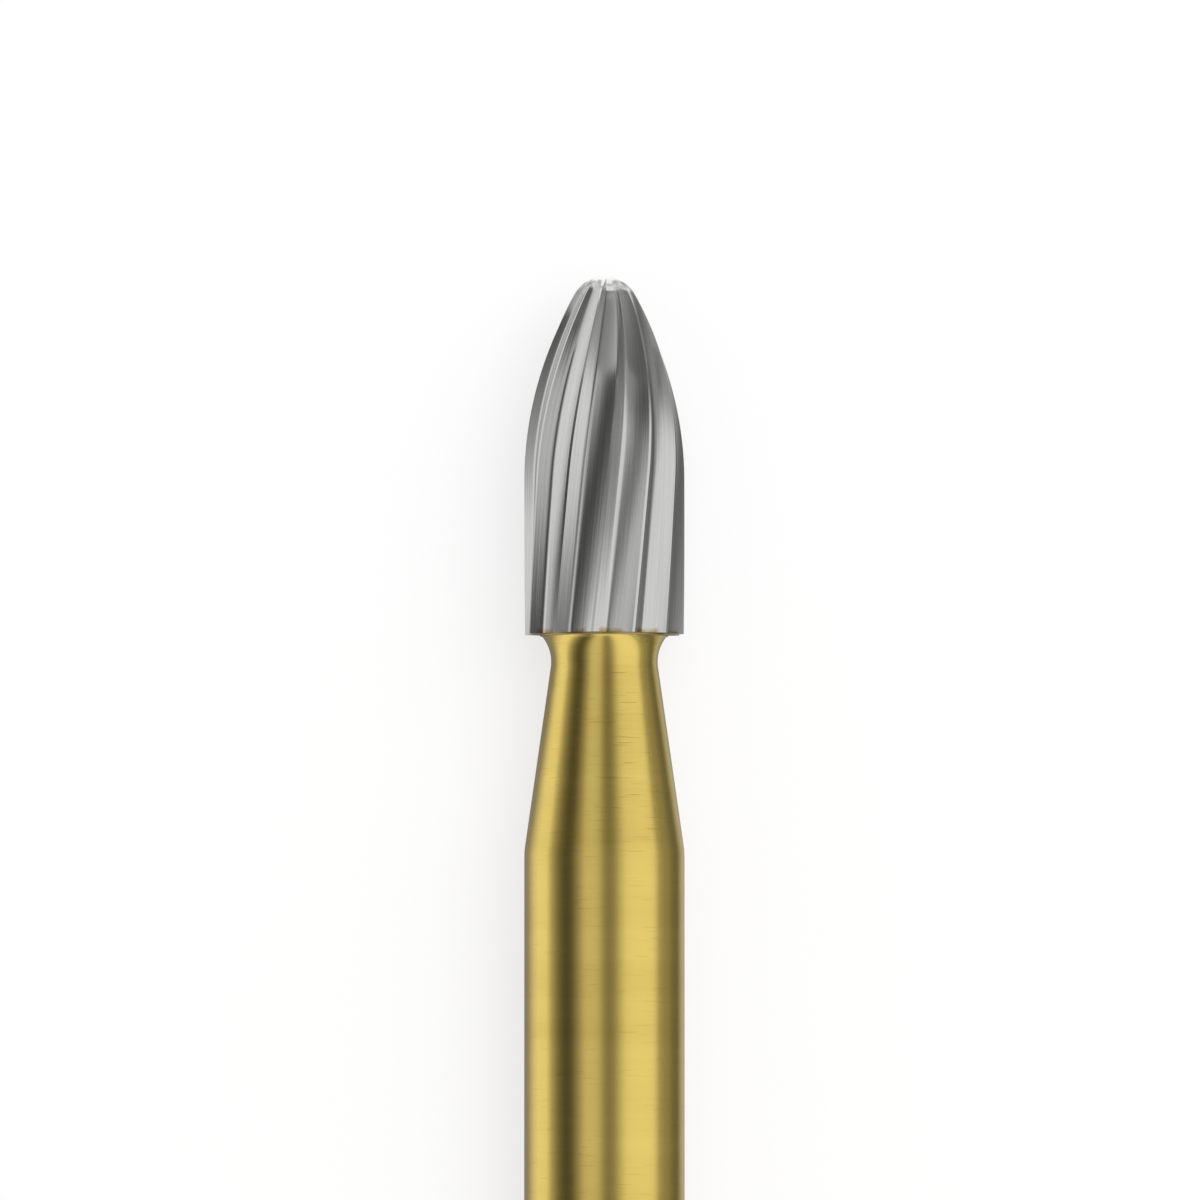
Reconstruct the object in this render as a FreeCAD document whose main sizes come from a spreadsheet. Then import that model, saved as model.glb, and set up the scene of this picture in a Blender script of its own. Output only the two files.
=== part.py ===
import FreeCAD, Part

import math
import os

import Sketcher

# Friction-grip dental finishing bur: a fluted carbide head brazed on a turned and plated steel shank.
# It lies on its side along Y, as it comes to rest on a table, with the tip of the head towards +Y.
# The origin is under its middle. Each piece is drawn upright in its own body, from the butt end at
# height 0 to the tip on top, and the body's placement lays it down.
# Lengths are in millimetres and angles in degrees.

DIMENSIONS = (
    ("overall_length", 19.0, "butt end of the shank to the tip of the head"),
    ("shank_diameter", 1.6, "gripped part of the shank"),
    ("butt_chamfer", 0.2, "chamfer round the butt end"),
    ("neck_length", 2.24, "back of the head down to the full shank diameter"),
    ("neck_diameter", 1.064, "waist of the neck, its thinnest place"),
    ("flare_step", 0.108, "how far the seat of the head stands out past the waist"),
    ("flare_radius", 0.4, "hollow arc between the waist and the seat"),
    ("taper_blend", 1.0, "rounding where the taper meets the gripped part"),
    ("head_diameter", 1.6, "head over the cutting edges"),
    ("head_length", 3.58, "back of the head to its tip"),
    ("ogive_radius", 3.7, "arc of the pointed part of the head"),
    ("tip_radius", 0.35, "dome at the tip"),
    ("plain_tip_radius", 0.12, "radius of the patch of dome that the flutes leave plain"),
    ("blade_count", 12, "number of blades"),
    ("helix_angle", 6.0, "right-hand lean of the blades from the axis"),
    ("flute_depth", 0.095, "depth of a flute at the full head diameter"),
    ("flute_rounding", 0.06, "rounding in the bottom of a flute at the full head diameter"),
    ("rake_lead", 9.0, "angle round the axis from a cutting edge forward to its flute bottom"),
    ("land_angle", 2.0, "angle round the axis of the land behind a cutting edge"),
    ("first_blade_angle", -97.8, "angle round the axis of one cutting edge, at the back of the head"),
)

# Sections of a flute, as shares of the parallel length, of the ogive and of the fluted dome.
PARALLEL_SHARES = (-0.1, 0.175, 0.45, 0.725, 1.0)
OGIVE_SHARES = (0.2, 0.4, 0.6, 0.8, 1.0)
DOME_SHARES = (0.35, 0.7, 1.0)
# A section reaches this many times the head's radius there, so its open side clears the head.
SECTION_REACH = 1.2

# A sketch counts the points of a piece of its geometry up from 1, and its own axes down from -1.
START, END, CENTRE = range(1, 4)
ACROSS, UPRIGHT = range(-1, -3, -1)
ORIGIN = (ACROSS, START)


def make_sizes(doc):
    """Sheet of driving dimensions."""
    sizes = doc.addObject("Spreadsheet::Sheet", "sizes")
    for row, (alias, value, meaning) in enumerate(DIMENSIONS, start=1):
        sizes.set(f"A{row}", meaning)
        sizes.set(f"B{row}", str(value))
        sizes.setAlias(f"B{row}", alias)
    doc.recompute()
    return sizes


def make_layout(doc):
    """Heights, radii and turns that follow from the sheet."""
    layout = doc.addObject("App::VarSet", "layout")
    formulas = (
        ("shank_radius", "sizes.shank_diameter / 2"),
        ("neck_radius", "sizes.neck_diameter / 2"),
        ("seat_radius", "layout.neck_radius + sizes.flare_step"),
        ("head_radius", "sizes.head_diameter / 2"),
        ("axis_height", "max(layout.shank_radius; layout.head_radius)"),
        ("seat_height", "sizes.overall_length - sizes.head_length"),
        ("neck_start", "layout.seat_height - sizes.neck_length"),
        ("dome_centre", "sizes.overall_length - sizes.tip_radius"),
        ("ogive_offset", "sizes.ogive_radius - layout.head_radius"),
        ("ogive_rise", "sqrt((sizes.ogive_radius - sizes.tip_radius)^2 - layout.ogive_offset^2)"),
        ("ogive_start", "layout.dome_centre - layout.ogive_rise"),
        ("parallel_length", "layout.ogive_start - layout.seat_height"),
        ("dome_slope", "atan(layout.ogive_rise / layout.ogive_offset) / 1deg"),
        ("plain_slope", "acos(sizes.plain_tip_radius / sizes.tip_radius) / 1deg"),
        ("flute_share", "sizes.flute_depth / layout.head_radius"),
        ("rounding_share", "sizes.flute_rounding / layout.head_radius"),
        ("lift_off", "sizes.plain_tip_radius * layout.flute_share / (1 - layout.flute_share)"),
        ("pitch_angle", "360 / sizes.blade_count"),
        ("lean", "tan(sizes.helix_angle * 1deg) * 180 / pi"),
        ("parallel_turn", "layout.lean * layout.parallel_length / layout.head_radius"),
        ("ogive_root", "sqrt(sizes.ogive_radius^2 - layout.ogive_offset^2)"),
        ("ogive_gain", "(sizes.ogive_radius + layout.ogive_offset) / layout.ogive_root"),
    )
    for name, formula in formulas:
        derive(layout, name, formula)
    doc.recompute()
    return layout


def derive(layout, name, formula):
    layout.addProperty("App::PropertyFloat", name, "Worked out")
    layout.setExpression(name, formula)


def origin_feature(body, role):
    return next(feature for feature in body.Origin.OriginFeatures if feature.Role == role)


def new_sketch(body, name, plane):
    sketch = body.newObject("Sketcher::SketchObject", name)
    sketch.AttachmentSupport = [(origin_feature(body, plane), "")]
    sketch.MapMode = "FlatFace"
    return sketch


def turn_sketch(sketch, axis, formula):
    """Turns a sketch about one of its own axes, by a formula in degrees."""
    sketch.AttachmentOffset = FreeCAD.Placement(FreeCAD.Vector(), FreeCAD.Rotation(axis, 1))
    sketch.setExpression("AttachmentOffset.Rotation.Angle", formula)


def lay_down(body):
    """Lays an upright piece on its side, with its top towards +Y."""
    body.Placement = FreeCAD.Placement(
        FreeCAD.Vector(), FreeCAD.Rotation(FreeCAD.Vector(1, 0, 0), -90)
    )
    body.setExpression("Placement.Base.y", "-sizes.overall_length / 2")
    body.setExpression("Placement.Base.z", "layout.axis_height")


def polar(radius, degrees):
    angle = math.radians(degrees)
    return FreeCAD.Vector(radius * math.cos(angle), radius * math.sin(angle), 0)


def line(x1, y1, x2, y2):
    return Part.LineSegment(FreeCAD.Vector(x1, y1, 0), FreeCAD.Vector(x2, y2, 0))


def arc(x, y, radius, start, end):
    """Arc anticlockwise from one angle to the other, in radians."""
    circle = Part.Circle(FreeCAD.Vector(x, y, 0), FreeCAD.Vector(0, 0, 1), radius)
    return Part.ArcOfCircle(circle, start, end)


def hold(sketch, kind, *where):
    sketch.addConstraint(Sketcher.Constraint(kind, *where))


def measure(sketch, name, formula, kind, *where):
    """Adds a dimension that follows the sheet. The last of where is its value at the start."""
    index = sketch.addConstraint(Sketcher.Constraint(kind, *where))
    sketch.renameConstraint(index, name)
    sketch.setExpression("Constraints." + name, formula)


def revolve(body, sketch, name):
    turned = body.newObject("PartDesign::Revolution", name)
    turned.Profile = (sketch, [""])
    turned.ReferenceAxis = (sketch, ["V_Axis"])
    turned.Angle = 360
    return turned


def make_shank_profile(body, sizes, layout):
    """Half the outline of the shank: butt, chamfer, grip, blend, taper, hollow flare and seat."""
    grip, chamfer, blend = layout.shank_radius, sizes.butt_chamfer, sizes.taper_blend
    neck_start, seat_height = layout.neck_start, layout.seat_height
    blend_x = grip - blend
    flare = sizes.flare_radius
    flare_x = layout.neck_radius + flare
    flare_y = seat_height - math.sqrt(flare**2 - (flare_x - layout.seat_radius) ** 2)
    across, along = flare_x - blend_x, flare_y - neck_start
    tilt = math.atan2(along, across) - math.acos((blend + flare) / math.hypot(across, along))
    rim = math.pi - math.asin((seat_height - flare_y) / flare)
    low = FreeCAD.Vector(blend_x, neck_start, 0) + polar(blend, math.degrees(tilt))
    high = FreeCAD.Vector(flare_x, flare_y, 0) - polar(flare, math.degrees(tilt))

    sketch = new_sketch(body, "shank_profile", "XZ_Plane")
    butt, corner, side, rounding, taper, hollow, seat, axis = range(8)
    sketch.addGeometry(
        [
            line(0, 0, grip - chamfer, 0),
            line(grip - chamfer, 0, grip, chamfer),
            line(grip, chamfer, grip, neck_start),
            arc(blend_x, neck_start, blend, 0, tilt),
            Part.LineSegment(low, high),
            arc(flare_x, flare_y, flare, rim, math.pi + tilt),
            line(layout.seat_radius, seat_height, 0, seat_height),
            line(0, seat_height, 0, 0),
        ]
    )
    hold(sketch, "Coincident", butt, START, *ORIGIN)
    hold(sketch, "Coincident", butt, END, corner, START)
    hold(sketch, "Coincident", corner, END, side, START)
    hold(sketch, "Tangent", side, END, rounding, START)
    hold(sketch, "Tangent", rounding, END, taper, START)
    hold(sketch, "Tangent", taper, END, hollow, END)
    hold(sketch, "Coincident", hollow, START, seat, START)
    hold(sketch, "Coincident", seat, END, axis, START)
    hold(sketch, "Coincident", axis, END, butt, START)
    hold(sketch, "Horizontal", butt)
    hold(sketch, "Vertical", side)
    hold(sketch, "Horizontal", seat)
    hold(sketch, "Vertical", axis)
    for name, formula, kind, *where in (
        ("grip_radius", "layout.shank_radius", "DistanceX", *ORIGIN, side, START, grip),
        ("chamfer_in", "sizes.butt_chamfer", "DistanceX", butt, END, side, START, chamfer),
        ("chamfer_up", "sizes.butt_chamfer", "DistanceY", butt, END, side, START, chamfer),
        ("neck_start", "layout.neck_start", "DistanceY", *ORIGIN, side, END, neck_start),
        ("blend_radius", "sizes.taper_blend", "Radius", rounding, blend),
        ("flare_radius", "sizes.flare_radius", "Radius", hollow, flare),
        (
            "flare_middle", "layout.neck_radius + sizes.flare_radius",
            "DistanceX", *ORIGIN, hollow, CENTRE, flare_x,
        ),
        ("seat_radius", "layout.seat_radius", "DistanceX", *ORIGIN, seat, START, layout.seat_radius),
        ("seat_height", "layout.seat_height", "DistanceY", *ORIGIN, seat, START, seat_height),
    ):
        measure(sketch, name, formula, kind, *where)
    return sketch


def make_shank(doc, sizes, layout):
    """Steel shank, turned in one piece with its tapered neck and the seat for the head."""
    body = doc.addObject("PartDesign::Body", "shank")
    lay_down(body)
    revolve(body, make_shank_profile(body, sizes, layout), "shank_turned")
    doc.recompute()
    return body


def make_head_profile(body, sizes, layout):
    """Half the outline of the head's blank: back, parallel side, ogive and dome.

    Its plane is turned to the middle of a flute where the ogive meets the dome, so that the seam of
    the turned faces stays clear of the blades there.
    """
    radius, back, tip = layout.head_radius, layout.seat_height, sizes.overall_length
    meeting = math.radians(layout.dome_slope)
    sketch = new_sketch(body, "head_profile", "XZ_Plane")
    turn_sketch(sketch, FreeCAD.Vector(0, 1, 0), "layout.seam_turn")
    rear, side, ogive, dome, axis = range(5)
    sketch.addGeometry(
        [
            line(0, back, radius, back),
            line(radius, back, radius, layout.ogive_start),
            arc(-layout.ogive_offset, layout.ogive_start, sizes.ogive_radius, 0, meeting),
            arc(0, layout.dome_centre, sizes.tip_radius, meeting, math.pi / 2),
            line(0, tip, 0, back),
        ]
    )
    hold(sketch, "Coincident", rear, END, side, START)
    hold(sketch, "Tangent", side, END, ogive, START)
    hold(sketch, "Tangent", ogive, END, dome, START)
    hold(sketch, "Coincident", dome, END, axis, START)
    hold(sketch, "Coincident", axis, END, rear, START)
    hold(sketch, "Horizontal", rear)
    hold(sketch, "Vertical", side)
    hold(sketch, "PointOnObject", rear, START, UPRIGHT)
    hold(sketch, "PointOnObject", dome, END, UPRIGHT)
    hold(sketch, "PointOnObject", dome, CENTRE, UPRIGHT)
    for name, formula, kind, *where in (
        ("back_height", "layout.seat_height", "DistanceY", *ORIGIN, rear, START, back),
        ("head_radius", "layout.head_radius", "DistanceX", *ORIGIN, rear, END, radius),
        ("ogive_radius", "sizes.ogive_radius", "Radius", ogive, sizes.ogive_radius),
        ("tip_radius", "sizes.tip_radius", "Radius", dome, sizes.tip_radius),
        ("tip_height", "sizes.overall_length", "DistanceY", *ORIGIN, dome, END, tip),
    ):
        measure(sketch, name, formula, kind, *where)
    return sketch


def plan_flute():
    """Height, head radius and turn of each section of a flute, as formulas, from the back up.

    The turn keeps the blade at the helix angle to the head's own outline, so it quickens towards
    the tip. The last sections lift off the dome, and leave the middle of the tip plain.
    """
    plan = []
    for share in PARALLEL_SHARES:
        height = f"layout.seat_height + {share} * layout.parallel_length"
        plan.append((height, "layout.head_radius", f"{share} * layout.parallel_turn"))
    for share in OGIVE_SHARES:
        slope = f"({share} * layout.dome_slope * 1deg)"
        gain = f"layout.ogive_gain * tan({slope} / 2)"
        height = f"layout.ogive_start + sizes.ogive_radius * sin({slope})"
        radius = f"sizes.ogive_radius * cos({slope}) - layout.ogive_offset"
        turn = (
            "layout.parallel_turn + layout.lean * sizes.ogive_radius / layout.ogive_root"
            f" * log((1 + {gain}) / (1 - {gain}))"
        )
        plan.append((height, radius, turn))
    ogive_turn = turn
    base = "tan(45deg + layout.dome_slope * 0.5deg)"
    for share in DOME_SHARES:
        slope = f"((layout.dome_slope + {share} * (layout.plain_slope - layout.dome_slope)) * 1deg)"
        height = f"layout.dome_centre + sizes.tip_radius * sin({slope})"
        radius = f"sizes.tip_radius * cos({slope}) + {share} * layout.lift_off"
        turn = f"{ogive_turn} + layout.lean * log(tan(45deg + {slope} / 2) / {base})"
        plan.append((height, radius, turn))
    above_tip = f"2 * sizes.overall_length - ({height})"
    plan.append((above_tip, radius, turn))
    return plan


def reach_out(start, way, radius):
    """Where the straight line from a point along a unit direction comes to that radius."""
    along = start.dot(way)
    return start + way * (math.sqrt(along**2 + radius**2 - start.dot(start)) - along)


def make_flute_section(body, sizes, layout, number):
    """Section of a flute: rake face, rounded bottom and relief face, closed outside the head.

    The cutting edge behind the flute lies on the sketch's own X axis, and the heel, where the
    relief face meets the land of the next blade, lies a blade's pitch less the land further on.
    """
    station = f"layout.section_{number}"
    radius = getattr(layout, f"section_{number}_radius")
    heel_angle = layout.pitch_angle - sizes.land_angle
    edge = polar(radius, 0)
    bottom = polar(radius * (1 - layout.flute_share), sizes.rake_lead)
    heel = polar(radius, heel_angle)
    rake_way = (edge - bottom).normalize()
    relief_way = (heel - bottom).normalize()
    half = rake_way.getAngle(relief_way) / 2
    rounding = radius * layout.rounding_share
    middle = bottom + (rake_way + relief_way).normalize() * (rounding / math.sin(half))
    rake_foot = bottom + rake_way * (rounding / math.tan(half))
    relief_foot = bottom + relief_way * (rounding / math.tan(half))
    rake_top = reach_out(bottom, rake_way, radius * SECTION_REACH)
    relief_top = reach_out(bottom, relief_way, radius * SECTION_REACH)
    curve_start = math.atan2(relief_foot.y - middle.y, relief_foot.x - middle.x)
    curve_end = math.atan2(rake_foot.y - middle.y, rake_foot.x - middle.x)

    sketch = new_sketch(body, f"flute_section_{number}", "XY_Plane")
    turn_sketch(sketch, FreeCAD.Vector(0, 0, 1), f"sizes.first_blade_angle + {station}_turn")
    sketch.setExpression("AttachmentOffset.Base.z", station + "_height")
    rake, curve, relief, outside = range(4)
    sketch.addGeometry(
        [
            Part.LineSegment(rake_top, rake_foot),
            arc(middle.x, middle.y, rounding, curve_start, curve_end),
            Part.LineSegment(relief_foot, relief_top),
            Part.LineSegment(relief_top, rake_top),
        ]
    )
    to_edge, to_bottom, to_heel, to_rake_top, to_relief_top = spokes = range(4, 9)
    for end in (edge, bottom, heel, rake_top, relief_top):
        sketch.addGeometry(line(0, 0, end.x, end.y), True)
    for spoke in spokes:
        hold(sketch, "Coincident", spoke, START, *ORIGIN)
    hold(sketch, "Tangent", rake, END, curve, END)
    hold(sketch, "Tangent", relief, START, curve, START)
    hold(sketch, "Coincident", relief, END, outside, START)
    hold(sketch, "Coincident", outside, END, rake, START)
    hold(sketch, "PointOnObject", to_edge, END, ACROSS)
    hold(sketch, "PointOnObject", to_edge, END, rake)
    hold(sketch, "PointOnObject", to_bottom, END, rake)
    hold(sketch, "PointOnObject", to_bottom, END, relief)
    hold(sketch, "PointOnObject", to_heel, END, relief)
    hold(sketch, "Coincident", to_rake_top, END, rake, START)
    hold(sketch, "Coincident", to_relief_top, END, relief, END)
    reach = f"{station}_radius * {SECTION_REACH}"
    for name, formula, kind, *where in (
        ("edge_radius", station + "_radius", "Distance", to_edge, radius),
        (
            "bottom_radius", station + "_radius * (1 - layout.flute_share)",
            "Distance", to_bottom, bottom.Length,
        ),
        ("heel_radius", station + "_radius", "Distance", to_heel, radius),
        ("rake_reach", reach, "Distance", to_rake_top, radius * SECTION_REACH),
        ("relief_reach", reach, "Distance", to_relief_top, radius * SECTION_REACH),
        ("rounding", station + "_radius * layout.rounding_share", "Radius", curve, rounding),
        (
            "rake_lead", "sizes.rake_lead * 1deg",
            "Angle", to_bottom, math.radians(sizes.rake_lead),
        ),
        (
            "heel_angle", "(layout.pitch_angle - sizes.land_angle) * 1deg",
            "Angle", to_heel, math.radians(heel_angle),
        ),
    ):
        measure(sketch, name, formula, kind, *where)
    return sketch


def make_cutting_head(doc, sizes, layout):
    """Carbide head: a turned blank with one helical flute ground ahead of each blade."""
    body = doc.addObject("PartDesign::Body", "cutting_head")
    lay_down(body)
    plan = plan_flute()
    for number, formulas in enumerate(plan):
        for what, formula in zip(("height", "radius", "turn"), formulas):
            derive(layout, f"section_{number}_{what}", formula)
    top_of_ogive = len(PARALLEL_SHARES) + len(OGIVE_SHARES) - 1
    derive(
        layout, "seam_turn",
        f"sizes.first_blade_angle + layout.section_{top_of_ogive}_turn + layout.pitch_angle / 2",
    )
    doc.recompute()
    blank = revolve(body, make_head_profile(body, sizes, layout), "head_blank")
    sections = [make_flute_section(body, sizes, layout, number) for number in range(len(plan))]
    flute = body.newObject("PartDesign::SubtractiveLoft", "flute")
    flute.Profile = (sections[0], [""])
    flute.Sections = [(section, [""]) for section in sections[1:]]
    flute.Ruled = False
    doc.recompute()
    flutes = body.newObject("PartDesign::PolarPattern", "flutes")
    flutes.Originals = [flute]
    flutes.Axis = (origin_feature(body, "Z_Axis"), [""])
    flutes.Angle = 360
    flutes.setExpression("Occurrences", "sizes.blade_count")
    body.Tip = flutes
    doc.recompute()
    one_flute = blank.Shape.Volume - flute.Shape.Volume
    all_flutes = blank.Shape.Volume - flutes.Shape.Volume
    if one_flute <= 0 or abs(all_flutes / (one_flute * sizes.blade_count) - 1) > 0.01:
        raise RuntimeError("the flutes are not all cut alike")
    return body


def check(doc, bodies):
    for item in doc.Objects:
        if "Invalid" in item.State or "Error" in item.State:
            raise RuntimeError(f"{item.Name} did not rebuild: {item.State}")
    for body in bodies:
        shape = body.Shape
        if shape.isNull() or not shape.isValid() or len(shape.Solids) != 1:
            raise RuntimeError(f"{body.Label} is not one valid solid")


def main():
    doc = FreeCAD.newDocument("dental_bur")
    sizes = make_sizes(doc)
    layout = make_layout(doc)
    bodies = (make_shank(doc, sizes, layout), make_cutting_head(doc, sizes, layout))
    check(doc, bodies)
    os.makedirs("parts", exist_ok=True)
    for body in bodies:
        body.Shape.exportStep(f"parts/{body.Label}.step")
        print(body.Label, "volume", round(body.Shape.Volume, 4), "mm3")


main()
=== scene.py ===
import math

import bpy
from bpy.props import FloatProperty, FloatVectorProperty, IntProperty, PointerProperty
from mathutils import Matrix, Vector


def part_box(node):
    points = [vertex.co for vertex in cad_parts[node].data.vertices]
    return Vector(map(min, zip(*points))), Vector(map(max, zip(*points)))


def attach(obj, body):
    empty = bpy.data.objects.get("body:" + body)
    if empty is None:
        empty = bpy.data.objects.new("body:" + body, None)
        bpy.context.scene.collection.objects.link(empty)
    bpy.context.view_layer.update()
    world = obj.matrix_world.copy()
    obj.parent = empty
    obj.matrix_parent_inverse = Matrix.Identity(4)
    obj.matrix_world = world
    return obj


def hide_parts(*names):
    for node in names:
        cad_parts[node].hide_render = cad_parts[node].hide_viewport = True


# A friction-grip dental finishing bur, dressed for rendering: a ground carbide head with helical
# flutes, the braze between head and neck, and a turned shank with thin gold plating. It lies along Y
# with its tip towards +Y, and its front faces up. All lengths are in metres.

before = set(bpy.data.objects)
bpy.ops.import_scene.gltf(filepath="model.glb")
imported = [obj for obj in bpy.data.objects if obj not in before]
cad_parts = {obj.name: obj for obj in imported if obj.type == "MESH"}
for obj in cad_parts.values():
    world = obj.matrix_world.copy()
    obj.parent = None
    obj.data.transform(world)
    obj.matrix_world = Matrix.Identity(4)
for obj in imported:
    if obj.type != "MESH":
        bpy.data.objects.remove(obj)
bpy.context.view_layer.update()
MM = 0.001

bl_info = {
    "name": "Dental Finishing Bur",
    "version": (1, 0, 0),
    "blender": (4, 5, 0),
    "location": "View3D > Sidebar > Finishing Bur",
    "description": "Fluted carbide finishing bur on a gold-plated friction-grip shank",
    "category": "Object",
}

SHANK_LOW, SHANK_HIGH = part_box("shank")
HEAD_LOW, HEAD_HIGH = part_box("cutting_head")
BUTT_Y = SHANK_LOW.y
SEAT_Y = SHANK_HIGH.y
TIP_Y = HEAD_HIGH.y
AXIS_Z = (SHANK_LOW.z + SHANK_HIGH.z) / 2

# Names of the UV map and of the attributes that the materials read.
SURFACE_MAP = "surface"
DEPTH = "flute_depth"
GREY = "grey"
# An edge sharper than this shows as a crease.
CREASE = math.radians(20)
# Faces round the shank and the braze, and round the section of the bead of braze.
ROUND_STEPS, BEAD_STEPS = 192, 12
# Rows of faces along the blend into the taper and along the hollow flare.
BLEND_ROWS, FLARE_ROWS = 12, 24
# Rows of faces up the head's parallel side, its ogive, its fluted dome and its plain tip.
PARALLEL_ROWS, OGIVE_ROWS, DOME_ROWS, TIP_ROWS = 20, 48, 28, 8
# Faces down a flute's rake side, up its relief side and across a land.
RAKE_STEPS, RELIEF_STEPS, LAND_STEPS = 7, 9, 3
# Halvings that find where a flute meets the head's surface.
HALVINGS = 40
# The head's flat back has a ring of points at this share of its radius, which the seat hides. The
# back lies this far below the flutes in the UV map, in millimetres.
BACK_RING = 0.72
BACK_UV_WIDTH = 0.2
# Studio paper on the table lies this far over it.
PAPER_HEIGHT = 0.01 * MM
# Sockets of the Mix node when it mixes colours.
MIX_SHARE, MIX_FIRST, MIX_SECOND, MIX_RESULT = 0, 6, 7, 2


def linear(code):
    """Turns an sRGB hex colour into the linear one that a shader takes."""
    parts = [int(code[at : at + 2], 16) / 255 for at in (0, 2, 4)]
    return tuple(c / 12.92 if c <= 0.04045 else ((c + 0.055) / 1.055) ** 2.4 for c in parts)


def length(name, description, default):
    """Length in metres that a user can set."""
    return FloatProperty(name=name, description=description, default=default, unit="LENGTH", precision=6)


def angle(name, description, degrees):
    """Angle that a user can set."""
    return FloatProperty(name=name, description=description, default=math.radians(degrees), subtype="ANGLE")


def colour(name, description, code):
    """Colour that a user can set."""
    return FloatVectorProperty(
        name=name, description=description, default=linear(code), subtype="COLOR", min=0, max=1
    )


class ShankSizes(bpy.types.PropertyGroup):
    """Sizes and colours of the shank and the braze"""

    diameter: length("Diameter", "Gripped part of the shank", SHANK_HIGH.x - SHANK_LOW.x)
    chamfer: length("Chamfer", "Chamfer round the butt end", 0.2 * MM)
    neck_length: length("Neck length", "Head down to the full shank diameter", 2.24 * MM)
    neck_diameter: length("Neck diameter", "Waist of the neck, its thinnest place", 1.064 * MM)
    flare_step: length("Flare step", "How far the head's seat stands out past the waist", 0.108 * MM)
    flare_radius: length("Flare radius", "Hollow arc between the waist and the seat", 0.4 * MM)
    taper_blend: length("Taper blend", "Rounding where the taper meets the grip", 1.0 * MM)
    braze_bead: length("Braze bead", "Radius of the bead of braze round the seat", 0.014 * MM)
    gold: colour("Gold", "Thin gold plating", "E5CB70")
    tarnish: colour("Tarnish", "Gold where it is thin or marked", "B79A45")
    braze: colour("Braze", "Silver braze", "B9A878")


class HeadSizes(bpy.types.PropertyGroup):
    """Sizes and colours of the cutting head"""

    diameter: length("Diameter", "Head over the cutting edges", HEAD_HIGH.x - HEAD_LOW.x)
    ogive_radius: length("Ogive radius", "Arc of the pointed part", 3.7 * MM)
    tip_radius: length("Tip radius", "Dome at the tip", 0.35 * MM)
    plain_tip_radius: length("Plain tip radius", "Patch of dome without flutes", 0.12 * MM)
    blade_count: IntProperty(name="Blades", description="Number of blades", default=12, min=2)
    helix: angle("Helix angle", "Right-hand lean of the blades from the axis", 6)
    flute_depth: length("Flute depth", "Depth of a flute at the full diameter", 0.095 * MM)
    flute_rounding: length("Flute rounding", "Rounding in the bottom of a flute", 0.06 * MM)
    rake_lead: angle("Rake lead", "From a cutting edge forward to its flute's bottom", 9)
    relief_hollow: length("Relief hollow", "How hollow the relief face is ground", 0.008 * MM)
    land: angle("Land", "Width of the land behind a cutting edge", 2)
    first_blade: angle("First blade", "One cutting edge at the back, from the top towards +X", -7.8)
    carbide: colour("Carbide", "Ground tungsten carbide", "CDCDCB")
    grind: colour("Grind", "Carbide in the grinding marks", "A9A9A8")
    # Painted shade and painted reflection of the gold neck, laid into the bottoms of the flutes at the
    # back.
    painted_flute_shade: colour("Painted flute shade", "Gold that ran into the flutes at the back", "A28A38")


class StageSizes(bpy.types.PropertyGroup):
    """Sizes of the table, the studio round the bur and the camera"""

    table_size: length("Table", "Side of the table top", 4.0)
    picture_width: length("Picture width", "Width that the camera sees at the bur", 11.988 * MM)
    picture_ahead: length("Picture ahead", "Middle of the picture, from the bur's middle", 6.265 * MM)
    picture_aside: length("Picture aside", "Middle of the picture, from the axis", -0.044 * MM)
    tilt: angle("Tilt", "How far the camera looks towards the tip", 2.4)
    lens: FloatProperty(name="Lens", description="Focal length in millimetres", default=450, min=1)
    tent_radius: length("Tent radius", "From the bur's axis to the paper tent", 90 * MM)
    lamp_height: length("Lamp height", "From the table to the soft lamp", 150 * MM)
    lamp_aside: length("Lamp aside", "From the bur to the lamp, to the right and ahead", 60 * MM)
    lamp_size: length("Lamp size", "Side of the soft lamp", 160 * MM)
    lamp_power: FloatProperty(name="Lamp power", description="Power in watts", default=0.2, min=0)


def place(radius, turn, along):
    """Point at a radius from the bur's axis, turned from the top towards +X."""
    return Vector((radius * math.sin(turn), along, AXIS_Z + radius * math.cos(turn)))


def turn_of(point):
    """How far a point is turned round the bur's axis, from the top towards +X."""
    return math.atan2(point.x, point.z - AXIS_Z)


def add_node(tree, kind, fields=None, sockets=None, links=None):
    """Adds a node with its own fields, its sockets' values and the outputs that feed its sockets."""
    node = tree.nodes.new(kind)
    for name, value in (fields or {}).items():
        setattr(node, name, value)
    for socket, value in (sockets or {}).items():
        node.inputs[socket].default_value = value
    for socket, output in (links or {}).items():
        tree.links.new(output, node.inputs[socket])
    return node


def new_material(name):
    """Material with nothing in it but its output."""
    material = bpy.data.materials.new(name)
    material.use_nodes = True
    tree = material.node_tree
    tree.nodes.clear()
    return material, tree, tree.nodes.new("ShaderNodeOutputMaterial")


def opaque(shade):
    """Colour with its alpha, as a socket takes it."""
    return (*shade, 1)


WHITE = opaque(linear("FFFFFF"))


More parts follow.
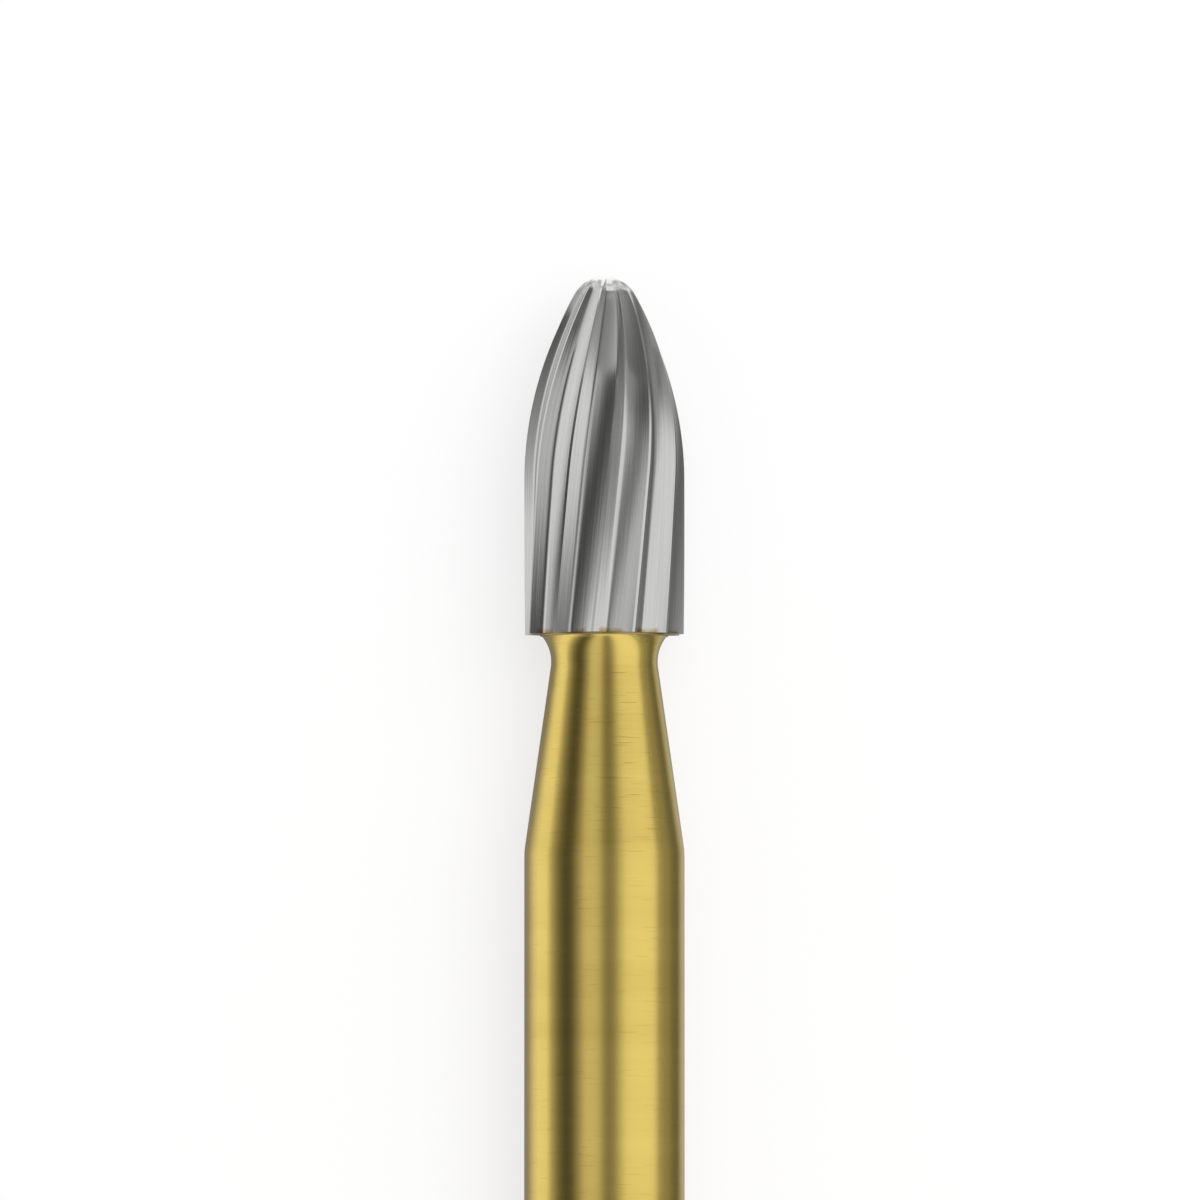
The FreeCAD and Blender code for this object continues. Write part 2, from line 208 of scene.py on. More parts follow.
def skin(name, rings, ends, columns, rows):
    """Closed skin over rings of points, each run from the top towards +X, the butt end's ring first.

    Ends are the points that close the first and the last ring. Columns are the UV places, in
    millimetres, of the two sides of each column of faces, and rows those of the rings. The end
    points lie a millimetre past them.
    """
    around = len(rings[0])
    points = [point for ring in rings for point in ring] + list(ends)
    first_end, last_end = len(points) - 2, len(points) - 1
    last_ring = (len(rings) - 1) * around
    faces, spots = [], []
    for column, (left, right) in enumerate(columns):
        beside = (column + 1) % around
        faces.append((beside, column, first_end))
        spots += [(right, rows[0]), (left, rows[0]), (left, rows[0] - 1)]
        for row in range(len(rings) - 1):
            below, above = row * around, (row + 1) * around
            faces.append((below + column, below + beside, above + beside, above + column))
            low, high = rows[row], rows[row + 1]
            spots += [(left, low), (right, low), (right, high), (left, high)]
        faces.append((last_ring + column, last_ring + beside, last_end))
        spots += [(left, rows[-1]), (right, rows[-1]), (left, rows[-1] + 1)]
    mesh = bpy.data.meshes.new(name)
    mesh.from_pydata(points, [], faces)
    layer = mesh.uv_layers.new(name=SURFACE_MAP)
    layer.uv.foreach_set("vector", [part for spot in spots for part in spot])
    mesh.shade_smooth()
    mesh.set_sharp_from_angle(angle=CREASE)
    mesh.update()
    return mesh


def lathe(name, outline):
    """Turned mesh. The outline's points are a radius and a place along the axis, butt end first."""
    step = math.tau / ROUND_STEPS
    rings = [[place(radius, step * at, along) for at in range(ROUND_STEPS)] for radius, along in outline]
    widest = max(radius for radius, along in outline)
    column_width = step * widest / MM
    columns = [(at * column_width, (at + 1) * column_width) for at in range(ROUND_STEPS)]
    ends = [place(0, 0, outline[0][1]), place(0, 0, outline[-1][1])]
    return skin(name, rings, ends, columns, [along / MM for radius, along in outline])


def arc_points(middle, radius, start, end, steps):
    """Points of an arc round a middle, from one angle to the other, both ends included."""
    for step in range(steps + 1):
        at = start + (end - start) * step / steps
        yield middle[0] + radius * math.cos(at), middle[1] + radius * math.sin(at)


def shank_outline(sizes):
    """Butt, chamfer, grip, blend into the taper, taper, hollow flare and the seat's rim."""
    grip = sizes.diameter / 2
    waist = sizes.neck_diameter / 2
    neck_start = SEAT_Y - sizes.neck_length
    blend_middle = Vector((grip - sizes.taper_blend, neck_start))
    seat = waist + sizes.flare_step
    flare_x = waist + sizes.flare_radius
    rim = math.acos((flare_x - seat) / sizes.flare_radius)
    flare_middle = Vector((flare_x, SEAT_Y - sizes.flare_radius * math.sin(rim)))
    across = flare_middle - blend_middle
    slope = math.atan2(across.y, across.x)
    slope -= math.acos((sizes.taper_blend + sizes.flare_radius) / across.length)
    outline = [
        (grip - sizes.chamfer, BUTT_Y),
        (grip, BUTT_Y + sizes.chamfer),
    ]
    outline += arc_points(blend_middle, sizes.taper_blend, 0, slope, BLEND_ROWS)
    outline += arc_points(flare_middle, sizes.flare_radius, math.pi + slope, math.pi - rim, FLARE_ROWS)
    return outline


def cutter_path(sizes):
    """Path round a flute for a head of radius 1: down the rake face, round the bottom, up the relief.

    Gives the place on it at a distance from the cutting edge, the distance of its deepest place and
    its whole length.
    """
    radius = sizes.diameter / 2
    depth = sizes.flute_depth / radius
    rounding = sizes.flute_rounding / radius
    heel_turn = math.tau / sizes.blade_count - sizes.land
    edge = Vector((1, 0))
    corner = (1 - depth) * Vector((math.cos(sizes.rake_lead), math.sin(sizes.rake_lead)))
    heel = Vector((math.cos(heel_turn), math.sin(heel_turn)))
    rake = (edge - corner).normalized()
    relief = (heel - corner).normalized()
    half = math.acos(rake.dot(relief)) / 2
    setback = rounding / math.tan(half)
    middle = corner + (rake + relief).normalized() * (rounding / math.sin(half))
    rake_run = (edge - corner).length - setback
    relief_run = (heel - corner).length - setback
    bend = math.pi - 2 * half
    start = corner + rake * setback - middle
    towards_axis = -middle.normalized()
    # The hollow's curve, share * (1 - share), is a quarter at its deepest.
    hollow = Vector((-relief.y, relief.x)) * 4 * sizes.relief_hollow / radius
    deepest = rake_run + rounding * start.angle(towards_axis)
    whole = rake_run + rounding * bend + relief_run

    def at(distance):
        """Place on the path at a distance from the cutting edge."""
        if distance <= rake_run:
            return edge - rake * distance
        if distance >= whole - relief_run:
            left = whole - distance
            share = left / relief_run
            return heel - relief * left + hollow * share * (1 - share)
        swung = (distance - rake_run) / rounding
        return middle + Vector(
            (
                start.x * math.cos(swung) + start.y * math.sin(swung),
                start.y * math.cos(swung) - start.x * math.sin(swung),
            )
        )

    return at, deepest, whole


def crossing(at, near, far, radius):
    """Distance along the path, between its deepest place and one end, where it has that radius."""
    for _ in range(HALVINGS):
        middle = (near + far) / 2
        if at(middle).length < radius:
            near = middle
        else:
            far = middle
    return (near + far) / 2


def head_stations(sizes):
    """Stations up the head: height over the back, outer radius, the cutter's radius and the turn.

    A blade keeps its lean from the axis. So its turn grows by the lean times the length that it runs
    over the head's surface, divided by the radius there. No flute is cut into the plain tip.
    """
    full = sizes.diameter / 2
    tall = TIP_Y - SEAT_Y
    ogive, dome = sizes.ogive_radius, sizes.tip_radius
    offset = ogive - full
    dome_middle = tall - dome
    rise = math.sqrt((ogive - dome) ** 2 - offset**2)
    ogive_start = dome_middle - rise
    meeting = math.atan2(rise, offset)
    plain = math.acos(sizes.plain_tip_radius / dome)
    lean = math.tan(sizes.helix)
    share = sizes.flute_depth / full
    lift = sizes.plain_tip_radius * share / (1 - share)
    for step in range(PARALLEL_ROWS):
        height = ogive_start * step / PARALLEL_ROWS
        yield height, full, full, lean * height / full
    root = math.sqrt(ogive**2 - offset**2)
    start_turn = lean * ogive_start / full
    for step in range(OGIVE_ROWS):
        slope = meeting * step / OGIVE_ROWS
        gain = (ogive + offset) / root * math.tan(slope / 2)
        radius = ogive * math.cos(slope) - offset
        turn = start_turn + lean * ogive / root * math.log((1 + gain) / (1 - gain))
        yield ogive_start + ogive * math.sin(slope), radius, radius, turn
    gain = (ogive + offset) / root * math.tan(meeting / 2)
    dome_turn = start_turn + lean * ogive / root * math.log((1 + gain) / (1 - gain))
    base = math.tan(math.pi / 4 + meeting / 2)
    for step in range(DOME_ROWS):
        slope = meeting + (plain - meeting) * step / DOME_ROWS
        radius = dome * math.cos(slope)
        turn = dome_turn + lean * math.log(math.tan(math.pi / 4 + slope / 2) / base)
        yield dome_middle + dome * math.sin(slope), radius, radius + lift * step / DOME_ROWS, turn
    end_turn = dome_turn + lean * math.log(math.tan(math.pi / 4 + plain / 2) / base)
    for step in range(TIP_ROWS):
        slope = plain + (math.pi / 2 - plain) * step / TIP_ROWS
        yield dome_middle + dome * math.sin(slope), dome * math.cos(slope), math.inf, end_turn


def head_mesh(sizes):
    """Fluted head, closed by its flat back and its plain tip."""
    at, deepest, whole = cutter_path(sizes)
    pitch = math.tau / sizes.blade_count
    full = sizes.diameter / 2
    down = [step / RAKE_STEPS for step in range(RAKE_STEPS)]
    up = [step / RELIEF_STEPS for step in range(RELIEF_STEPS + 1)]
    bottom = at(deepest)
    rings, depths, heights = [], [], []
    for height, radius, cut, turn in head_stations(sizes):
        reach = radius / cut
        if reach > bottom.length:
            first = crossing(at, deepest, 0, reach)
            last = crossing(at, deepest, whole, reach)
            tooth = [at(first + (deepest - first) * share) for share in down]
            tooth += [at(deepest + (last - deepest) * share) for share in up]
            spots = [(p.length * cut, math.atan2(p.y, p.x)) for p in tooth]
        else:
            turned = math.atan2(bottom.y, bottom.x)
            spots = [(radius, turned)] * (len(down) + len(up))
        heel_turn = spots[-1][1]
        next_edge = spots[0][1] + pitch
        for step in range(1, LAND_STEPS):
            spots.append((radius, heel_turn + (next_edge - heel_turn) * step / LAND_STEPS))
        base = sizes.first_blade + turn
        ring = []
        for blade in range(sizes.blade_count):
            for spot_radius, spot_turn in spots:
                ring.append(place(spot_radius, base + blade * pitch + spot_turn, SEAT_Y + height))
                depths.append((radius - spot_radius) / sizes.flute_depth)
        rings.append(ring)
        heights.append(height / MM)
    inner = [place(BACK_RING * full, turn_of(point), SEAT_Y) for point in rings[0]]
    rings.insert(0, inner)
    heights.insert(0, heights[0] - BACK_UV_WIDTH)
    depths = [0.0] * len(inner) + depths + [0.0, 0.0]
    wide = [deepest * full * share / MM for share in down]
    wide += [(deepest + (whole - deepest) * share) * full / MM for share in up]
    land_width = sizes.land * full / MM
    wide += [wide[-1] + land_width * step / LAND_STEPS for step in range(1, LAND_STEPS + 1)]
    # Each tooth starts at a whole tenth of a millimetre in the UV map, past the one before.
    columns = []
    for blade in range(sizes.blade_count):
        start = blade * math.ceil(wide[-1] * 10) / 10
        columns += [(start + left, start + right) for left, right in zip(wide, wide[1:])]
    ends = [place(0, 0, SEAT_Y), place(0, 0, TIP_Y)]
    mesh = skin("cutting_head_ground", rings, ends, columns, heights)
    deep = mesh.attributes.new(DEPTH, "FLOAT", "POINT")
    deep.data.foreach_set("value", depths)
    return mesh


def bead_mesh(name, ring_radius, along, thickness):
    """Ring with a round section of that radius, round the bur's axis."""
    points, faces = [], []
    for column in range(ROUND_STEPS):
        turn = math.tau * column / ROUND_STEPS
        for side in range(BEAD_STEPS):
            at = math.tau * side / BEAD_STEPS
            radius = ring_radius + thickness * math.cos(at)
            points.append(place(radius, turn, along + thickness * math.sin(at)))
    for column in range(ROUND_STEPS):
        here, beside = column * BEAD_STEPS, (column + 1) % ROUND_STEPS * BEAD_STEPS
        for side in range(BEAD_STEPS):
            after = (side + 1) % BEAD_STEPS
            faces.append((here + side, beside + side, beside + after, here + after))
    mesh = bpy.data.meshes.new(name)
    mesh.from_pydata(points, [], faces)
    mesh.shade_smooth()
    return mesh


def new_piece(name, mesh, material, slot, *nodes):
    """Piece that rides on the bur, takes its finish from a material and stands for CAD nodes. The slot is
    not used.
    """
    piece = bpy.data.objects.new(name, mesh)
    mesh.materials.append(material)
    bpy.context.scene.collection.objects.link(piece)
    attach(piece, "root")
    if nodes:
        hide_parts(*nodes)
    return piece


def stretched_noise(tree, spot, stretch, detail, roughness=0.5):
    """Noise that has a scale of its own along each axis of a place."""
    stretched = add_node(
        tree, "ShaderNodeVectorMath", {"operation": "MULTIPLY"}, {1: stretch}, {0: spot}
    )
    noise = add_node(
        tree, "ShaderNodeTexNoise", {}, {"Scale": 1.0, "Detail": detail, "Roughness": roughness},
        {"Vector": stretched.outputs[0]},
    )
    return noise.outputs["Fac"]


def map_range(tree, value, source, target):
    """Value mapped from one range to another, and held at both ends."""
    node = add_node(
        tree, "ShaderNodeMapRange", {},
        {"From Min": source[0], "From Max": source[1], "To Min": target[0], "To Max": target[1]},
        {"Value": value},
    )
    return node.outputs["Result"]


def turned_gold_plate(sizes):
    """Gold-plated turned steel: a bright yellow metal, blurred along the axis by the turning marks."""
    material, tree, output = new_material("Gold-plated turned steel")
    spot = add_node(tree, "ShaderNodeTexCoord").outputs["Object"]
    # Turning marks about 0.03 mm apart, coarser than the real ones so that they show.
    fine = stretched_noise(tree, spot, (0.4 / MM, 30 / MM, 0.4 / MM), 3.0, 0.6)
    # Broader bands where the tool's feed changed, about 0.4 mm wide.
    broad = stretched_noise(tree, spot, (0.2 / MM, 2.5 / MM, 0.2 / MM), 2.0)
    # Short scratches round the shank, a third of a millimetre long and a sixtieth wide.
    scratch_noise = stretched_noise(tree, spot, (3 / MM, 60 / MM, 3 / MM), 1.0)
    scratch = map_range(tree, scratch_noise, (0.63, 0.76), (0.0, 1.0))
    wear = map_range(tree, broad, (0.35, 0.75), (0.0, 0.22))
    worn = add_node(
        tree, "ShaderNodeMath", {"operation": "MULTIPLY_ADD", "use_clamp": True},
        {1: 0.2}, {0: scratch, 2: wear},
    )
    shade = add_node(
        tree, "ShaderNodeMix", {"data_type": "RGBA"},
        {MIX_FIRST: opaque(sizes.gold), MIX_SECOND: opaque(sizes.tarnish)},
        {MIX_SHARE: worn.outputs[0]},
    )
    roughness = map_range(tree, fine, (0.3, 0.7), (0.15, 0.21))
    marks = add_node(
        tree, "ShaderNodeBump", {}, {"Strength": 0.5, "Distance": 0.001 * MM}, {"Height": fine}
    )
    cuts = add_node(
        tree, "ShaderNodeBump", {"invert": True}, {"Strength": 0.3, "Distance": 0.002 * MM},
        {"Height": scratch, "Normal": marks.outputs["Normal"]},
    )
    tangent = add_node(tree, "ShaderNodeTangent", {"direction_type": "UV_MAP", "uv_map": SURFACE_MAP})
    shader = add_node(
        tree, "ShaderNodeBsdfPrincipled", {},
        {"Metallic": 1.0, "Anisotropic": 0.5, "Anisotropic Rotation": 0.25},
        {
            "Base Color": shade.outputs[MIX_RESULT], "Roughness": roughness,
            "Normal": cuts.outputs["Normal"], "Tangent": tangent.outputs["Tangent"],
        },
    )
    tree.links.new(shader.outputs["BSDF"], output.inputs["Surface"])
    return material


def ground_carbide(sizes):
    """Ground tungsten carbide: a bright neutral grey metal with fine marks along the flutes."""
    material, tree, output = new_material("Ground tungsten carbide")
    on_surface = add_node(tree, "ShaderNodeUVMap", {"uv_map": SURFACE_MAP}).outputs["UV"]
    depth = add_node(tree, "ShaderNodeAttribute", {"attribute_name": DEPTH}).outputs["Fac"]
    split = add_node(tree, "ShaderNodeSeparateXYZ", {}, {}, {"Vector": on_surface})
    # Marks of the grinding wheel along a flute, about 0.02 mm apart, drawn coarser so that they show.
    marks = stretched_noise(tree, on_surface, (45, 0.7, 1), 3.0, 0.6)
    # Clouding on the faces, about 0.1 mm wide and 0.6 mm long.
    cloud = stretched_noise(tree, on_surface, (9, 1.6, 1), 2.0)
    ground = map_range(tree, marks, (0.35, 0.7), (0.0, 0.35))
    shade = add_node(
        tree, "ShaderNodeMix", {"data_type": "RGBA"},
        {MIX_FIRST: opaque(sizes.carbide), MIX_SECOND: opaque(sizes.grind)},
        {MIX_SHARE: ground},
    )
    # Painted shade and painted reflection of the gold neck: a darker gold tint a few hundredths of a
    # millimetre up the bottom of each deep flute, next to the back.
    patches = add_node(
        tree, "ShaderNodeTexNoise", {}, {"Scale": 4.0, "Detail": 3.0}, {"Vector": on_surface}
    )
    ragged = add_node(
        tree, "ShaderNodeMath", {"operation": "MULTIPLY_ADD"}, {1: 0.16},
        {0: patches.outputs["Fac"], 2: split.outputs["Y"]},
    )
    near_back = map_range(tree, ragged.outputs[0], (0.08, 0.12), (0.85, 0.0))
    deep = map_range(tree, depth, (0.3, 0.6), (0.0, 1.0))
    flute_shade_share = add_node(
        tree, "ShaderNodeMath", {"operation": "MULTIPLY"}, {}, {0: near_back, 1: deep}
    )
    tinted = add_node(
        tree, "ShaderNodeMix", {"data_type": "RGBA"}, {MIX_SECOND: opaque(sizes.painted_flute_shade)},
        {MIX_SHARE: flute_shade_share.outputs[0], MIX_FIRST: shade.outputs[MIX_RESULT]},
    )
    # The lands are ground round and finer than the flutes.
    land = map_range(tree, depth, (0.0, 0.03), (0.09, 0.11))
    roughness = add_node(
        tree, "ShaderNodeMath", {"operation": "MULTIPLY_ADD"}, {1: 0.06}, {0: cloud, 2: land}
    )
    bump = add_node(
        tree, "ShaderNodeBump", {}, {"Strength": 0.6, "Distance": 0.0015 * MM}, {"Height": marks}
    )
    tangent = add_node(tree, "ShaderNodeTangent", {"direction_type": "UV_MAP", "uv_map": SURFACE_MAP})
    shader = add_node(
        tree, "ShaderNodeBsdfPrincipled", {}, {"Metallic": 1.0, "Anisotropic": 0.3},
        {
            "Base Color": tinted.outputs[MIX_RESULT], "Roughness": roughness.outputs[0],
            "Normal": bump.outputs["Normal"], "Tangent": tangent.outputs["Tangent"],
        },
    )
    tree.links.new(shader.outputs["BSDF"], output.inputs["Surface"])
    return material


def silver_braze(sizes):
    """Silver brazing alloy: a pale yellowish metal that froze with a slightly rippled skin."""
    material, tree, output = new_material("Silver braze")
    spot = add_node(tree, "ShaderNodeTexCoord").outputs["Object"]
    # Ripples about 0.04 mm across.
    ripple = add_node(
        tree, "ShaderNodeTexNoise", {}, {"Scale": 25 / MM, "Detail": 2.0}, {"Vector": spot}
    ).outputs["Fac"]
    roughness = map_range(tree, ripple, (0.0, 1.0), (0.28, 0.42))
    bump = add_node(
        tree, "ShaderNodeBump", {}, {"Strength": 0.5, "Distance": 0.003 * MM}, {"Height": ripple}
    )
    shader = add_node(
        tree, "ShaderNodeBsdfPrincipled", {}, {"Metallic": 1.0, "Base Color": opaque(sizes.braze)},
        {"Roughness": roughness, "Normal": bump.outputs["Normal"]},
    )
    tree.links.new(shader.outputs["BSDF"], output.inputs["Surface"])
    return material


def seen_rays(tree):
    """Share of the rays that see the studio as white: from the camera, a mirror or glass."""
    path = add_node(tree, "ShaderNodeLightPath")
    seen = add_node(
        tree, "ShaderNodeMath", {"operation": "MAXIMUM"}, {},
        {0: path.outputs["Is Camera Ray"], 1: path.outputs["Is Glossy Ray"]},
    )
    return add_node(
        tree, "ShaderNodeMath", {"operation": "MAXIMUM"}, {},
        {0: seen.outputs[0], 1: path.outputs["Is Transmission Ray"]},
    ).outputs[0]


def white_table():
    """Matt white laminate, which shows near white and keeps a soft shadow."""
    material, tree, output = new_material("Matt white laminate")
    seen = seen_rays(tree)
    matt = add_node(tree, "ShaderNodeBsdfDiffuse", {}, {"Color": opaque(linear("FAFAFA"))})
    white = add_node(tree, "ShaderNodeEmission", {}, {"Color": WHITE, "Strength": 1.0})
    # Where it is seen, seven tenths of it is plain white, and the rest is matt and takes the shadow.
    share = add_node(tree, "ShaderNodeMath", {"operation": "MULTIPLY"}, {1: 0.7}, {0: seen})
    mixed = add_node(
        tree, "ShaderNodeMixShader", {}, {},
        {0: share.outputs[0], 1: matt.outputs[0], 2: white.outputs[0]},
    )
    tree.links.new(mixed.outputs[0], output.inputs["Surface"])
    return material


def studio_paper():
    """Backlit studio paper, whose grey is set point by point and shows only in the metal."""
    material, tree, output = new_material("Backlit studio paper")
    grey = add_node(tree, "ShaderNodeAttribute", {"attribute_name": GREY}).outputs["Fac"]
    light = add_node(tree, "ShaderNodeEmission", {}, {"Color": WHITE}, {"Strength": grey})
    tree.links.new(light.outputs[0], output.inputs["Surface"])
    return material


def stage_piece(name, points, faces, material):
    """Piece of the stage, which isn't part of the bur."""
    mesh = bpy.data.meshes.new(name)
    mesh.from_pydata(points, [], faces)
    mesh.materials.append(material)
    thing = bpy.data.objects.new(name, mesh)
    bpy.context.scene.collection.objects.link(thing)
    return thing


def hang_paper(name, rows, greys, paper):
    """Sheet of studio paper through rows of points, with a grey at each point."""
    points = [point for row in rows for point in row]
    wide = len(rows[0])
    faces = []
    for row in range(len(rows) - 1):
        for at in range(row * wide, (row + 1) * wide - 1):
            faces.append((at, at + 1, at + wide + 1, at + wide))
    sheet = stage_piece(name, points, faces, paper)
    shade = sheet.data.attributes.new(GREY, "FLOAT", "POINT")
    shade.data.foreach_set("value", [grey for row in greys for grey in row])
    sheet.visible_camera = False
    sheet.visible_diffuse = False
    sheet.visible_transmission = False
    sheet.visible_shadow = False


# The sheets over the bur have points at steps of these turns and leans, in degrees.
TURN_STEP, LEAN_STEP = 3, 2
# The paper tent over the bur: its grey at each turn from the top towards +X, in degrees.
TENT_GREYS = (
    (-90, 0.9), (-82, 0.5), (-70, 0.2), (-58, 0.08), (-48, 0.12), (-38, 0.35), (-29, 0.68),
    (-19, 0.74), (-9, 0.66), (-1, 0.36), (6, 0.25), (14, 0.33), (22, 0.62), (31, 0.94),
    (42, 1.0), (62, 1.02), (75, 0.97), (82, 0.68), (86, 0.45), (90, 0.36),
)
# The plain sheet ahead of it, over the tip.
AHEAD_GREYS = (
    (-90, 0.8), (-60, 0.7), (-40, 0.42), (0, 0.24), (15, 0.14), (35, 0.22), (60, 0.36), (90, 0.45),
)
# The strips of paper that lie on the table, seen only in the metal: their greys at distances from the bur's
# axis, in mm. Near the bur they are a painted shadow of the bur on the table, and farther out dark flags.
LEFT_SHADOW_GREYS = ((-3.4, 0.95), (-2.5, 0.82), (-1.9, 0.55), (-1.5, 0.33), (-0.9, 0.25), (-0.4, 0.12))
RIGHT_SHADOW_GREYS = (
    (0.4, 0.12), (0.9, 0.35), (1.2, 0.55), (1.6, 0.42), (2.0, 0.18), (2.8, 0.2), (4.5, 0.3),
    (9.0, 0.36), (90.0, 0.36),
)
# Rows of those strips: where each starts beside the bur, how fast it spreads along the bur with the
# distance from it, and how far it has faded from the table's own grey to the strip's.
TABLE_GREY = 0.93
TABLE_PAPER_ROWS = (
    (BUTT_Y + 1 * MM, -0.7, 0), (BUTT_Y + 6 * MM, -0.7, 1), (TIP_Y, 0.7, 1), (TIP_Y + 3 * MM, 0.7, 0),
)
# Leans from upright towards the tip, in degrees, at which the tent and the sheet ahead of it end.
TENT_BACK, TENT_FRONT, AHEAD_END = -72, 34, 60
# The tent's right side darkens towards its front by this share, over these turns and leans.
FRONT_SHADE = 0.55
SHADE_TURNS = (-20, 5)
SHADE_LEANS = (15, 28)
# The soft box stands past the sheet ahead: its greys at heights over the table.
SOFT_BOX_GREYS = ((90 * MM, 1.3), (25 * MM, 1.1), (PAPER_HEIGHT, 0.5))
# Its bright strip on the table: places ahead of the tip and half widths in mm, and greys.
TIP_PAPER_ROWS = ((0.3, 1.5, 1.45), (12, 3, 1.45), (18, 3, TABLE_GREY))


def between(at, low, high):
    """How far a value has come from low to high, eased at both ends."""
    share = min(max((at - low) / (high - low), 0), 1)
    return share * share * (3 - 2 * share)


def grey_at(stops, at):
    """Grey between the two stops on either side."""
    for (left, first), (right, second) in zip(stops, stops[1:]):
        if at <= right:
            return first + (second - first) * max(at - left, 0) / (right - left)
    return stops[-1][1]


def tent_grey(turn, lean):
    """Grey of the tent at a turn and a lean, in degrees."""
    shade = FRONT_SHADE * between(turn, *SHADE_TURNS) * between(lean, *SHADE_LEANS)
    return grey_at(TENT_GREYS, turn) * (1 - shade)


def lay_shadow_strip(name, stops, paper):
    """Strip of paper on the table beside the bur, which fades into the table's grey at both ends. Near the
    bur it is a painted shadow, seen only in the metal.
    """
    rows, greys = [], []
    for along, spread, share in TABLE_PAPER_ROWS:
        rows.append(
            [Vector((aside * MM, along + spread * abs(aside) * MM, PAPER_HEIGHT)) for aside, grey in stops]
        )
        greys.append([TABLE_GREY + (grey - TABLE_GREY) * share for aside, grey in stops])
    hang_paper(name, rows, greys, paper)


def add_papers(stage):
    """Studio papers round the bur that draw the light and dark bands along its metal."""
    reach, middle = stage.tent_radius, stage.picture_ahead
    paper = studio_paper()
    turns = range(-90, 91, TURN_STEP)

    def arch(lean):
        """Half ring of points over the bur, at a lean from upright over the picture's middle."""
        along = middle + reach * math.tan(math.radians(lean))
        return [place(reach, math.radians(turn), along) for turn in turns]

    leans = (TENT_BACK, *range(0, TENT_FRONT + 1, LEAN_STEP))
    greys = [[tent_grey(turn, lean) for turn in turns] for lean in leans]
    hang_paper("paper_tent", [arch(lean) for lean in leans], greys, paper)
    greys = [[grey_at(AHEAD_GREYS, turn) for turn in turns]] * 2
    hang_paper("paper_ahead", [arch(TENT_FRONT), arch(AHEAD_END)], greys, paper)
    rim = arch(AHEAD_END)
    rows = [[Vector((p.x, p.y, min(p.z, height))) for p in rim] for height, grey in SOFT_BOX_GREYS]
    hang_paper("soft_box_ahead", rows, [[grey] * len(rim) for height, grey in SOFT_BOX_GREYS], paper)
    rows = [
        [Vector((side * half * MM, TIP_Y + ahead * MM, PAPER_HEIGHT)) for side in (-1, 1)]
        for ahead, half, grey in TIP_PAPER_ROWS
    ]
    hang_paper("paper_tip", rows, [[grey] * 2 for ahead, half, grey in TIP_PAPER_ROWS], paper)
    # Painted shadow: dark strips on the table beside the bur, seen only in the metal.
    lay_shadow_strip("painted_shadow_left", LEFT_SHADOW_GREYS, paper)
    lay_shadow_strip("painted_shadow_right", RIGHT_SHADOW_GREYS, paper)


def add_world():
    """Studio that looks white, and lights matt things so that a colour shows about as written."""
    world = bpy.data.worlds.new("White studio")
    bpy.context.scene.world = world
    world.use_nodes = True
    tree = world.node_tree
    tree.nodes.clear()
    level = map_range(tree, seen_rays(tree), (0.0, 1.0), (0.6, 1.0))
    white = add_node(tree, "ShaderNodeBackground", {}, {"Color": WHITE}, {"Strength": level})
    output = add_node(tree, "ShaderNodeOutputWorld")
    tree.links.new(white.outputs[0], output.inputs["Surface"])


def add_lamp(stage):
    """Soft lamp over the bur, to the right and ahead, for the shadow."""
    light = bpy.data.lights.new("Soft lamp", "AREA")
    light.shape = "SQUARE"
    light.size = stage.lamp_size
    light.energy = stage.lamp_power
    lamp = bpy.data.objects.new("Soft lamp", light)
    lamp.location = (stage.lamp_aside, stage.lamp_aside, stage.lamp_height)
    towards = Vector((0, 0, 0)) - lamp.location
    lamp.rotation_euler = towards.to_track_quat("-Z", "Y").to_euler()
    lamp.visible_glossy = False
    bpy.context.scene.collection.objects.link(lamp)


def add_camera(stage):
    """Camera straight over the bur, so that the picture's up is +Y, as if the bur stood."""
    settings = bpy.data.cameras.new("Camera")
    settings.lens = stage.lens
    distance = stage.picture_width * stage.lens / settings.sensor_width
    settings.clip_start = distance / 10
    settings.clip_end = stage.table_size
    camera = bpy.data.objects.new("Camera", settings)
    bpy.context.scene.collection.objects.link(camera)
    target = Vector((stage.picture_aside, stage.picture_ahead, AXIS_Z))
    back = Vector((0, -math.sin(stage.tilt), math.cos(stage.tilt)))
    camera.location = target + back * distance
    camera.rotation_euler = (stage.tilt, 0, 0)
    bpy.context.scene.camera = camera


class BUR_OT_add_shank(bpy.types.Operator):
    """Adds the turned shank with its plating"""

    bl_idname = "bur.add_shank"
    bl_label = "Add Shank"

    def execute(self, context):
        sizes = context.scene.bur_shank
        mesh = lathe("shank_turned", shank_outline(sizes))
        new_piece("shank_turned", mesh, turned_gold_plate(sizes), "shank", "shank")
        return {"FINISHED"}


class BUR_OT_add_braze(bpy.types.Operator):
    """Adds the bead of braze where the neck meets the head"""

    bl_idname = "bur.add_braze"
    bl_label = "Add Braze"

    def execute(self, context):
        sizes = context.scene.bur_shank
        seat = sizes.neck_diameter / 2 + sizes.flare_step
        bead = sizes.braze_bead
        mesh = bead_mesh("braze_bead", seat - bead / 2, SEAT_Y - bead / 2, bead)
        new_piece("braze_bead", mesh, silver_braze(sizes), "shank")
        return {"FINISHED"}


class BUR_OT_add_head(bpy.types.Operator):
    """Adds the fluted carbide head"""

    bl_idname = "bur.add_head"
    bl_label = "Add Cutting Head"

    def execute(self, context):
        sizes = context.scene.bur_head
        mesh = head_mesh(sizes)
        new_piece("cutting_head_ground", mesh, ground_carbide(sizes), "cutting_head", "cutting_head")
        return {"FINISHED"}


